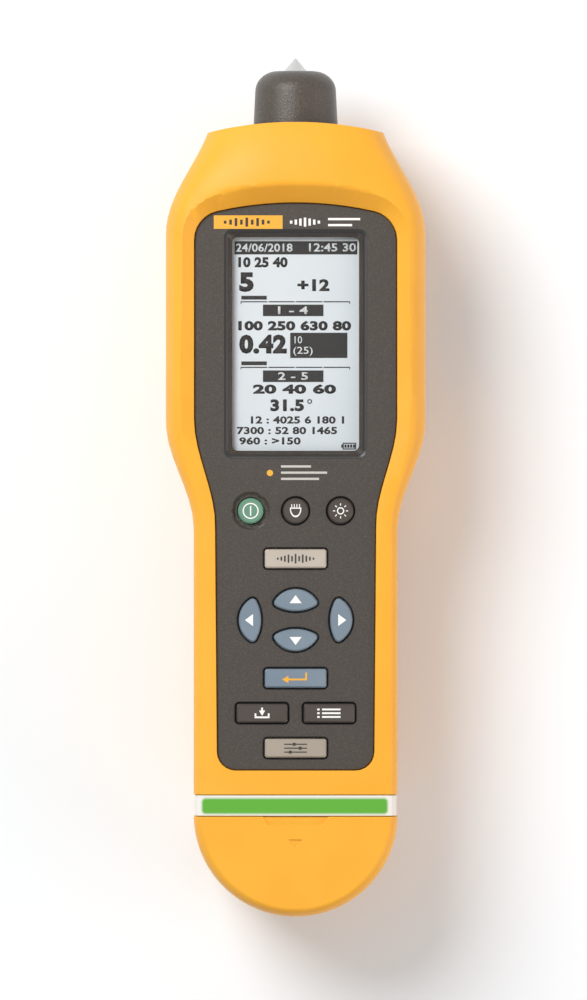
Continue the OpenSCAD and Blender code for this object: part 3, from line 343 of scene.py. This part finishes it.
display_mat = display_face()
window_mat = clear("window_clear", linear(60, 66, 68), 0.05)
lens_mat = clear("lens_clear", linear(226, 232, 236), 0.3)
ir_mat = clear("ir_clear", linear(78, 32, 48), 0.88, 0.1)
band_mat = band_light()
board_mat = board_green()
jacket_mat = cell_jacket()
led_mat = plain_ink("lamp_plastic", linear(232, 236, 214), 0.4)


# Pieces


def add_piece(bm, name, material, body, smooth=None):
    """Makes an object from a bmesh and rides it on a body. Faces under the smooth angle shade as one."""
    if smooth is not None:
        for face in bm.faces:
            face.smooth = True
        for edge in bm.edges:
            edge.smooth = edge.calc_face_angle(math.pi) < smooth
    mesh = bpy.data.meshes.new(name)
    bm.to_mesh(mesh)
    bm.free()
    mesh.materials.append(material)
    piece = bpy.data.objects.new(name, mesh)
    bpy.context.scene.collection.objects.link(piece)
    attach(piece, body)
    return piece


def copy_of(node):
    """A node's mesh with its loose triangles joined and its flat faces made whole."""
    bm = bmesh.new()
    bm.from_mesh(nodes[node].data)
    bmesh.ops.remove_doubles(bm, verts=bm.verts, dist=0.002 * MM)
    bmesh.ops.dissolve_limit(bm, angle_limit=math.radians(0.6), verts=bm.verts, edges=bm.edges)
    return bm


def soft_edges(piece, width):
    """Rounds the sharp edges of a piece."""
    bevel = piece.modifiers.new("soft_edges", "BEVEL")
    bevel.width = width
    bevel.segments = 3
    bevel.limit_method = "ANGLE"
    bevel.angle_limit = math.radians(35)
    normals = piece.modifiers.new("even_normals", "WEIGHTED_NORMAL")
    normals.keep_sharp = True


def round_edges(bm, edges, width, segments):
    """Rounds edges in the mesh itself, and gives the new faces."""
    return bmesh.ops.bevel(
        bm,
        geom=edges,
        affect="EDGES",
        offset=width,
        offset_type="OFFSET",
        segments=segments,
        profile=0.5,
        material=-1,
    )["faces"]


def round_opening(bm, node, margin, width, segments):
    """Rounds the front edge of the faceplate's opening for a node, and gives the rounding and the walls
    the black of painted gap shade.
    """
    low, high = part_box(node)
    level = top("faceplate")

    def near(point):
        return low.x - margin < point.x < high.x + margin and low.y - margin < point.y < high.y + margin

    rim = []
    for edge in bm.edges:
        if near((edge.verts[0].co + edge.verts[1].co) / 2):
            on_front = all(abs(v.co.z - level) < 0.01 * MM for v in edge.verts)
            if on_front and edge.calc_face_angle(0) > math.radians(40):
                rim.append(edge)
    for face in round_edges(bm, rim, width, segments):
        face.material_index = 1
    for face in bm.faces:
        if near(face.calc_center_median()) and abs(face.normal.z) < 0.3:
            face.material_index = 1


def finish_node(node, name, material, bevel=0.0, smooth=SMOOTH_DEG):
    """A node's own shape with joined faces, rounded edges and its finish."""
    piece = add_piece(copy_of(node), name, material, nodes[node]["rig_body"], math.radians(smooth))
    if bevel:
        soft_edges(piece, bevel)
    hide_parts(node)


# Each node with the name of its piece, its finish and the width of its rounded edges
FINISHES = (
    ("rear_housing", "rear_moulding", yellow, 0),
    ("battery_cover", "battery_cap", yellow, 0.26 * MM),
    ("end_plate", "head_end_plate", plate_dark, 0.25 * MM),
    ("sensor_boot", "probe_boot", rubber, 0),
    ("port_door", "port_flap", soft_black, 0.35 * MM),
    ("port_bezel", "port_frame", black_plastic, 0.2 * MM),
    ("shell_gasket", "seam_seal", soft_black, 0),
    ("display_gasket", "window_seal", soft_black, 0),
    ("keypad_mat", "key_mat", soft_black, 0),
    ("light_band", "band_ring", band_mat, 0.18 * MM),
    ("display_window", "window_pane", window_mat, 0.1 * MM),
    ("torch_lens", "torch_glass", lens_mat, 0.25 * MM),
    ("ir_window", "ir_glass", ir_mat, 0.25 * MM),
    ("lcd_panel", "display_face", display_mat, 0.1 * MM),
    ("lcd_frame", "display_carrier", carrier_steel, 0.1 * MM),
    ("usb_socket", "usb_shell", carrier_steel, 0.08 * MM),
    ("boot_clamp", "boot_ring", carrier_steel, 0.2 * MM),
    ("sensor_socket", "round_socket", carrier_steel, 0.12 * MM),
    ("sensor_tip", "probe_tip", tip_steel, 0.05 * MM),
    ("accelerometer", "probe_sensor", tip_steel, 0.25 * MM),
    ("housing_screws", "case_screws", screw_steel, 0.15 * MM),
    ("board_screws", "plate_screws", screw_steel, 0.1 * MM),
    ("battery_spring", "tray_spring", spring_steel, 0, WIRE_SMOOTH_DEG),
    ("cover_spring", "cap_spring", spring_steel, 0, WIRE_SMOOTH_DEG),
    ("probe_spring", "sensor_spring", spring_steel, 0, WIRE_SMOOTH_DEG),
    ("cell_contacts", "tray_contacts", contact_metal, 0.1 * MM),
    ("cover_contact", "cap_contact", contact_metal, 0.1 * MM),
    ("main_board", "keypad_board", board_mat, 0.08 * MM),
    ("port_board", "socket_board", board_mat, 0.08 * MM),
    ("board_chips", "board_parts", chip_black, 0.12 * MM),
    ("audio_jack", "jack_body", chip_black, 0.12 * MM),
    ("led_strip", "band_lamps", led_mat, 0.08 * MM),
    ("torch_led", "torch_lamp", led_mat, 0.5 * MM),
    ("battery_tray", "cell_tray", black_plastic, 0.2 * MM),
    ("sensor_sleeve", "sensor_tube", black_plastic, 0.2 * MM),
    ("battery_cell_left", "cell_left", jacket_mat, 0.3 * MM),
    ("battery_cell_right", "cell_right", jacket_mat, 0.3 * MM),
    ("ir_sensor", "ir_can", sensor_can, 0.3 * MM),
)
for row in FINISHES:
    finish_node(*row)


def dress_front():
    """The front moulding, with the middle of the crest over the plate's head end rounded off."""
    half_width, bevel = 22 * MM, 0.9 * MM
    least_angle = math.radians(14)
    bm = copy_of("front_housing")
    key_level = top("key_up")
    crest = []
    for edge in bm.edges:
        if len(edge.link_faces) == 2 and all(f.normal.z > 0.25 for f in edge.link_faces):
            ends = [v.co for v in edge.verts]
            sharp = edge.calc_face_angle_signed(0) > least_angle
            if sharp and all(p.z > key_level and abs(p.x) < half_width and p.y > 0 for p in ends):
                crest.append(edge)
    bmesh.ops.remove_doubles(bm, verts=list({v for e in crest for v in e.verts}), dist=0.25 * MM)
    round_edges(bm, [e for e in crest if e.is_valid], bevel, 4)
    piece = add_piece(bm, "front_moulding", yellow, "main", math.radians(SMOOTH_DEG))
    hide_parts("front_housing")


def dress_faceplate():
    """The front plate, with its rounded edge round the display and each key but the dished one painted
    black as the shade of the gap.
    """
    bm = copy_of("faceplate")
    round_opening(bm, "display_window", margin=1.2 * MM, width=0.75 * MM, segments=4)
    for key in KEY_FINISHES:
        if key != "power":
            round_opening(bm, "key_" + key, margin=0.7 * MM, width=0.42 * MM, segments=3)
    plate = add_piece(bm, "front_plate", plate_dark, "main", math.radians(SMOOTH_DEG))
    plate.data.materials.append(gap_shade_black)
    soft_edges(plate, 0.2 * MM)
    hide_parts("faceplate")


KEY_FINISHES = {
    "power": key_green,
    "torch": key_dark,
    "backlight": key_dark,
    "measure": key_beige,
    "up": key_blue,
    "down": key_blue,
    "left": key_blue,
    "right": key_blue,
    "enter": key_blue,
    "save": key_dark,
    "memory": key_dark,
    "setup": setup_key_painted_shade,
}
for key, finish in KEY_FINISHES.items():
    finish_node("key_" + key, key + "_cap", finish, 0.4 * MM, KEY_SMOOTH_DEG)
dress_front()
dress_faceplate()


# Marks: thin shapes that lie on a face, drawn flat and then given the thickness of ink


def at(x, y, turn=0.0, width=1.0, height=1.0):
    return (
        Matrix.Translation((x, y, 0))
        @ Matrix.Rotation(math.radians(turn), 4, "Z")
        @ Matrix.Diagonal((width, height, 1, 1))
    )


def bar(bm, x, y, width, height, turn=0.0):
    bmesh.ops.create_grid(bm, x_segments=1, y_segments=1, size=0.5, matrix=at(x, y, turn, width, height))


def disc(bm, x, y, radius, segments=32, turn=0.0):
    bmesh.ops.create_circle(bm, cap_ends=True, segments=segments, radius=radius, matrix=at(x, y, turn))


def triangle(bm, x, y, radius, turn=0.0):
    disc(bm, x, y, radius, 3, turn)


def ring(bm, x, y, radius, line, segments=40):
    edges = []
    for r in (radius, radius - line):
        made = bmesh.ops.create_circle(bm, cap_ends=False, segments=segments, radius=r, matrix=at(x, y))
        edges += list({e for v in made["verts"] for e in v.link_edges})
    bmesh.ops.bridge_loops(bm, edges=edges)


def ink(bm, name, place, material, body):
    """Thickens flat shapes and lays them at a place."""
    bmesh.ops.solidify(bm, geom=bm.faces[:], thickness=INK)
    low = min(v.co.z for v in bm.verts)
    bmesh.ops.translate(bm, vec=(place[0], place[1], place[2] - low), verts=bm.verts)
    bmesh.ops.recalc_face_normals(bm, faces=bm.faces)
    add_piece(bm, name, material, body)


def key_ink(key, material, draw):
    """A symbol on a key, which moves with it."""
    bm = bmesh.new()
    draw(bm)
    place = middle("key_" + key)
    place.z = top("key_" + key)
    ink(bm, key + "_symbol", place, material, "key_" + key)


def power_symbol(bm):
    line = 0.34 * MM
    ring(bm, 0, 0, 2.25 * MM, line)
    bar(bm, 0, 0, line, 2.7 * MM)


def torch_symbol(bm):
    """A bowl lamp seen from the side, with its rays."""
    ring(bm, 0, 0, 1.6 * MM, 0.3 * MM)
    everything = bm.verts[:] + bm.edges[:] + bm.faces[:]
    bmesh.ops.bisect_plane(bm, geom=everything, plane_co=(0, 0, 0), plane_no=(0, 1, 0), clear_outer=True)
    bmesh.ops.scale(bm, vec=(1, 1.5, 1), verts=bm.verts)
    bar(bm, 0, 0.17 * MM, 3.2 * MM, 0.34 * MM)
    bmesh.ops.translate(bm, vec=(0, 0.6 * MM, 0), verts=bm.verts)
    for i in range(4):
        bar(bm, (i - 1.5) * 0.73 * MM, 1.4 * MM, 0.24 * MM, 1.0 * MM)


def sun_symbol(bm):
    ring(bm, 0, 0, 1.02 * MM, 0.32 * MM)
    reach = 1.8 * MM
    for degrees in range(0, 360, 45):
        turn = math.radians(degrees)
        bar(bm, reach * math.sin(turn), reach * math.cos(turn), 0.27 * MM, 0.62 * MM, -degrees)


def pointer(degrees):
    """A wide triangle that points along a direction, set back a little from the middle of its key."""

    def draw(bm):
        triangle(bm, 0, 0, 1.96 * MM)
        bmesh.ops.scale(bm, vec=(1, 0.77, 1), verts=bm.verts)
        bmesh.ops.translate(bm, vec=(0, -0.12 * MM, 0), verts=bm.verts)
        turn = Matrix.Rotation(math.radians(degrees), 3, "Z")
        bmesh.ops.rotate(bm, cent=(0, 0, 0), matrix=turn, verts=bm.verts)

    return draw


def wave_symbol(bm):
    """Upright bars that swell and fall, as on a level display."""
    for i, height in enumerate((0.6, 1.1, 1.7, 2.3, 1.5, 2.7, 1.5, 2.3, 1.7, 1.1, 0.6)):
        bar(bm, (i - 5) * 1.0 * MM, 0, 0.46 * MM, height * MM)


def enter_symbol(bm):
    line = 0.5 * MM
    bar(bm, 0.6 * MM, -0.35 * MM, 5.2 * MM, line)
    bar(bm, 2.95 * MM, 0.75 * MM, line, 1.7 * MM)
    triangle(bm, -2.6 * MM, -0.35 * MM, 1.2 * MM, 90)


def save_symbol(bm):
    """An arrow down into a tray."""
    line = 0.5 * MM
    bar(bm, 0, 1.15 * MM, 0.55 * MM, 0.8 * MM)
    triangle(bm, 0, 0.25 * MM, 1.0 * MM, 180)
    bar(bm, 0, -1.15 * MM, 4.2 * MM, line)
    for side in (-1, 1):
        bar(bm, side * 1.85 * MM, -0.5 * MM, line, 0.9 * MM)


def memory_symbol(bm):
    """A list of three rows."""
    line = 0.5 * MM
    for i in (-1, 0, 1):
        bar(bm, 0.6 * MM, i * 1.05 * MM, 5.2 * MM, line)
        bar(bm, -3.0 * MM, i * 1.05 * MM, 0.7 * MM, line)


def setup_symbol(bm):
    """Three sliders, whose rails touch their knobs without overlapping them."""
    for i, shift in enumerate((-1.5, 1.3, -0.4)):
        level = (i - 1) * 1.1 * MM
        bar(bm, shift * MM, level, 0.8 * MM, 0.86 * MM)
        for end, knob_side in ((-3.2, shift - 0.4), (3.2, shift + 0.4)):
            bar(bm, (end + knob_side) / 2 * MM, level, abs(end - knob_side) * MM, 0.32 * MM)


key_ink("power", white_ink, power_symbol)
key_ink("torch", white_ink, torch_symbol)
key_ink("backlight", white_ink, sun_symbol)
key_ink("measure", dark_ink, wave_symbol)
key_ink("up", white_ink, pointer(0))
key_ink("left", white_ink, pointer(90))
key_ink("down", white_ink, pointer(180))
key_ink("right", white_ink, pointer(270))
key_ink("enter", amber_ink, enter_symbol)
key_ink("save", white_ink, save_symbol)
key_ink("memory", white_ink, memory_symbol)
key_ink("setup", dark_ink, setup_symbol)


# Display: everything on it is given by its pixels in the photograph


def px_bar(bm, x0, y0, x1, y1):
    low, high = spot(x0, y1), spot(x1, y0)
    centre, size = (low + high) / 2, high - low
    bar(bm, centre.x, centre.y, size.x, size.y)


def px_frame(bm, x0, y0, x1, y1, line):
    for box in ((x0, y0, x1, y0 + line), (x0, y1 - line, x1, y1)):
        px_bar(bm, *box)
    for box in ((x0, y0 + line, x0 + line, y1 - line), (x1 - line, y0 + line, x1, y1 - line)):
        px_bar(bm, *box)


def px_figures(bm, figures, x0, y0, x1, y1, weight=0.0):
    """Plain figures that fill a box of pixels. Weight thickens their strokes and sets them apart."""
    curve = bpy.data.curves.new("figures", "FONT")
    curve.body = figures
    curve.offset = weight
    curve.space_character = 1 + weight
    curve.resolution_u = 3
    text = bpy.data.objects.new("figures", curve)
    bpy.context.scene.collection.objects.link(text)
    bpy.context.view_layer.update()
    mesh = bpy.data.meshes.new_from_object(text.evaluated_get(bpy.context.evaluated_depsgraph_get()))
    bpy.data.objects.remove(text)
    across = [v.co.x for v in mesh.vertices]
    upwards = [v.co.y for v in mesh.vertices]
    low, high = spot(x0, y1), spot(x1, y0)
    wide = (high.x - low.x) / (max(across) - min(across))
    tall = (high.y - low.y) / (max(upwards) - min(upwards))
    to_corner = Matrix.Translation((-min(across), -min(upwards), 0))
    mesh.transform(Matrix.Translation(low) @ Matrix.Diagonal((wide, tall, 1, 1)) @ to_corner)
    bm.from_mesh(mesh)
    bpy.data.meshes.remove(mesh)


def px_scale(bm, y):
    """A scale in four stretches with a tick down at each end, and the level over its first stretch."""
    px_bar(bm, 241.4, y - 5.4, 266.8, y - 1.6)
    for x0, x1 in ((240.7, 267.4), (268.6, 294.6), (295.8, 322.2), (323.4, 350)):
        px_bar(bm, x0, y, x1, y + 1.1)
    for x in (240.7, 349.2):
        px_bar(bm, x, y + 1.1, x + 0.8, y + 2.7)


def px_battery(bm):
    """A full battery at the foot of the display."""
    px_frame(bm, 342.6, 442.8, 356, 449.6, 1.1)
    px_bar(bm, 341.2, 444.6, 342.6, 447.8)
    for i in range(4):
        px_bar(bm, 344.4 + i * 2.8, 444.6, 346.5 + i * 2.8, 447.8)


def display_dark():
    """The dark fields, scales and figures of the display."""
    large, heavy, middling, light = 0.055, 0.05, 0.045, 0.035
    bm = bmesh.new()
    px_bar(bm, 234.6, 241.6, 357.2, 254.8)
    px_figures(bm, "10 25 40", 238.4, 257.4, 287.6, 267.8, heavy)
    px_figures(bm, "5", 239.3, 272.6, 253.8, 292.2, large)
    px_figures(bm, "+12", 297.4, 279.4, 329.4, 291.4, middling)
    px_scale(bm, 301.5)
    px_scale(bm, 367)
    px_bar(bm, 263, 304.9, 323.4, 316.4)
    px_bar(bm, 263, 370.6, 323.4, 382.2)
    px_figures(bm, "100 250 630 80", 238.4, 321, 351, 330.8, heavy)
    px_figures(bm, "0.42", 239.3, 334.8, 286.8, 354, large)
    px_bar(bm, 290.2, 333, 347.3, 358.2)
    px_figures(bm, "20 40 60", 253, 384.4, 336, 394, heavy)
    px_figures(bm, "31.5", 270.4, 399.4, 304, 411.4, heavy)
    degree = spot(309.6, 401.6)
    ring(bm, degree.x, degree.y, 2.4 * PIXEL, 1.0 * PIXEL, 16)
    px_figures(bm, "12 : 4025 6 180 1", 251, 416.2, 344, 423.8, light)
    px_figures(bm, "7300 : 52 80 1465", 237, 426.8, 337, 434.4, light)
    px_figures(bm, "960 : >150", 239.4, 437.2, 300.6, 444.8, light)
    px_battery(bm)
    ink(bm, "display_figures", (0, 0, top("lcd_panel")), lcd_ink, "main")


def display_light():
    """The pale border of the display, and the pale figures on its dark fields."""
    z = top("lcd_panel")
    bold = 0.02
    bm = bmesh.new()
    px_frame(bm, 232.9, 239.8, 359.3, 451.6, 1.5)
    ink(bm, "display_border", (0, 0, z), lcd_pale, "main")
    bm = bmesh.new()
    px_figures(bm, "24/06/2018", 236, 243.8, 292.6, 252.2, bold)
    px_figures(bm, "12:45 30", 309, 243.6, 356, 252, bold)
    px_figures(bm, "1 - 4", 278, 306.6, 308, 314.4, bold)
    px_figures(bm, "2 - 5", 278, 372.4, 308, 380.2, bold)
    px_figures(bm, "10", 294.6, 336.4, 302, 343.6)
    px_figures(bm, "(25)", 293.4, 347, 312.6, 356.2)
    ink(bm, "display_pale_figures", (0, 0, z + INK), lcd_pale, "main")


display_dark()
display_light()


# Printed marks on the faceplate


def px_levels(bm, x, y, step, width, heights):
    """Upright bars in a row, centred on a height."""
    for i, height in enumerate(heights):
        px_bar(bm, x + i * step, y - height / 2, x + i * step + width, y + height / 2)


def plate_marks():
    """An amber label with upright bars, white bars beside it, and a lamp dot with grey rules below."""
    z = top("faceplate")
    bars_y = 222.7
    bm = bmesh.new()
    px_bar(bm, 214, 216, 282.6, 229.4)
    dot = spot(270, 473)
    disc(bm, dot.x, dot.y, 3.1 * PIXEL)
    ink(bm, "amber_marks", (0, 0, z), amber_ink, "main")
    bm = bmesh.new()
    px_levels(bm, 224, bars_y, 5.4, 2.6, (3, 5, 8, 5, 9, 5, 8, 5, 3))
    ink(bm, "label_bars", (0, 0, z + INK), dark_ink, "main")
    bm = bmesh.new()
    px_levels(bm, 290, bars_y, 4.6, 2.4, (3, 5, 7, 9, 7, 5, 3))
    px_bar(bm, 328, 218.6, 360, 220.8)
    px_bar(bm, 328, 224.6, 352, 226.8)
    ink(bm, "white_marks", (0, 0, z), white_ink, "main")
    bm = bmesh.new()
    for y, end_x in ((465.4, 311), (471.6, 327), (477.8, 319)):
        px_bar(bm, 281, y, end_x, y + 2.2)
    ink(bm, "lamp_marks", (0, 0, z), grey_ink, "main")


plate_marks()


# The port door's grip


def door_ribs():
    """Four low ribs near the free edge of the port door, for a fingernail."""
    rib_width, rib_length, sunk = 0.7 * MM, 9 * MM, 0.05 * MM
    body = nodes["port_door"]["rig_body"]
    low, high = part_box("port_door")
    for i in range(4):
        level = low.z + (2.4 + 1.5 * i) * MM
        # The door is curved, so a cut through it at each level says how far out its face is there
        cut = copy_of("port_door")
        geom = cut.verts[:] + cut.edges[:] + cut.faces[:]
        made = bmesh.ops.bisect_plane(cut, geom=geom, plane_co=(0, 0, level), plane_no=(0, 0, 1))
        face_x = max(v.co.x for v in made["geom_cut"] if isinstance(v, bmesh.types.BMVert))
        cut.free()
        bm = bmesh.new()
        bmesh.ops.create_cube(bm, size=1)
        bmesh.ops.scale(bm, vec=(rib_width, rib_length, rib_width), verts=bm.verts)
        round_edges(bm, bm.edges[:], 0.25 * MM, 3)
        bmesh.ops.translate(bm, vec=(face_x - sunk, (low.y + high.y) / 2, level), verts=bm.verts)
        add_piece(bm, "door_rib_%d" % (i + 1), soft_black, body, smooth=0.6)


door_ribs()


# Floor, lights and camera


def background_rays(tree):
    """One for the rays that show the background: the camera's, and those off gloss and through glass."""
    path = tree.nodes.new("ShaderNodeLightPath")
    shown = path.outputs["Is Camera Ray"]
    for kind in ("Is Glossy Ray", "Is Transmission Ray"):
        either = tree.nodes.new("ShaderNodeMath")
        either.operation = "MAXIMUM"
        tree.links.new(shown, either.inputs[0])
        tree.links.new(path.outputs[kind], either.inputs[1])
        shown = either.outputs["Value"]
    return shown


def add_floor():
    """Pale paper just below the back, which takes the shadow."""
    paper_lift = 0.075
    mat = bpy.data.materials.new("floor_paper")
    mat.use_nodes = True
    tree = mat.node_tree
    shader = tree.nodes["Principled BSDF"]
    shader.inputs["Base Color"].default_value = (0.87, 0.89, 0.91, 1)
    shader.inputs["Roughness"].default_value = 0.9
    shader.inputs["Specular IOR Level"].default_value = 0.1
    shader.inputs["Emission Color"].default_value = (0.6, 0.9, 1.0, 1)
    lift = spread(tree, background_rays(tree), 0, 1, 0, paper_lift)
    tree.links.new(lift, shader.inputs["Emission Strength"])
    bm = bmesh.new()
    bmesh.ops.create_grid(bm, x_segments=1, y_segments=1, size=4)
    bmesh.ops.translate(bm, vec=(0, 0, -0.3 * MM), verts=bm.verts)
    mesh = bpy.data.meshes.new("floor")
    bm.to_mesh(mesh)
    bm.free()
    mesh.materials.append(mat)
    floor = bpy.data.objects.new("floor", mesh)
    bpy.context.scene.collection.objects.link(floor)


def add_light(name, place, size, power, colour=(1, 1, 1)):
    """A round soft light that looks at the middle of the meter."""
    light = bpy.data.lights.new(name, "AREA")
    light.shape = "DISK"
    light.size = size
    light.energy = power
    light.color = colour
    lamp = bpy.data.objects.new(name, light)
    lamp.location = place
    way = Vector((0, 0, 30 * MM)) - lamp.location
    lamp.rotation_mode = "QUATERNION"
    lamp.rotation_quaternion = way.to_track_quat("-Z", "Y")
    bpy.context.scene.collection.objects.link(lamp)


def add_world():
    """A white background, which lights the meter at less than half of its strength."""
    world = bpy.data.worlds.new("studio")
    world.use_nodes = True
    tree = world.node_tree
    back = tree.nodes["Background"]
    back.inputs["Color"].default_value = (1, 1, 1, 1)
    tree.links.new(spread(tree, background_rays(tree), 0, 1, 0.44, 1.0), back.inputs["Strength"])
    bpy.context.scene.world = world


def add_camera():
    """Straight above the meter, far enough away that its sides hardly show."""
    distance = 6.0
    # The outline that is seen from above lies about this high
    outline_z = 38 * MM
    data = bpy.data.cameras.new("camera")
    data.sensor_width = 36
    data.lens = data.sensor_width * distance / (PHOTO_H * PIXEL)
    data.clip_start, data.clip_end = 0.1, 20
    camera = bpy.data.objects.new("camera", data)
    aim = spot(PHOTO_W / 2, PHOTO_H / 2)
    camera.location = (aim.x, aim.y, outline_z + distance)
    bpy.context.scene.collection.objects.link(camera)
    bpy.context.scene.camera = camera


add_floor()
add_world()
add_light("key_light", place=(-0.5, 0.52, 0.96), size=0.66, power=11.2)
add_light("fill_light", place=(0.88, -0.25, 0.38), size=0.8, power=3.8, colour=(1, 0.82, 0.77))
add_camera()
bpy.context.scene.view_settings.view_transform = "Standard"
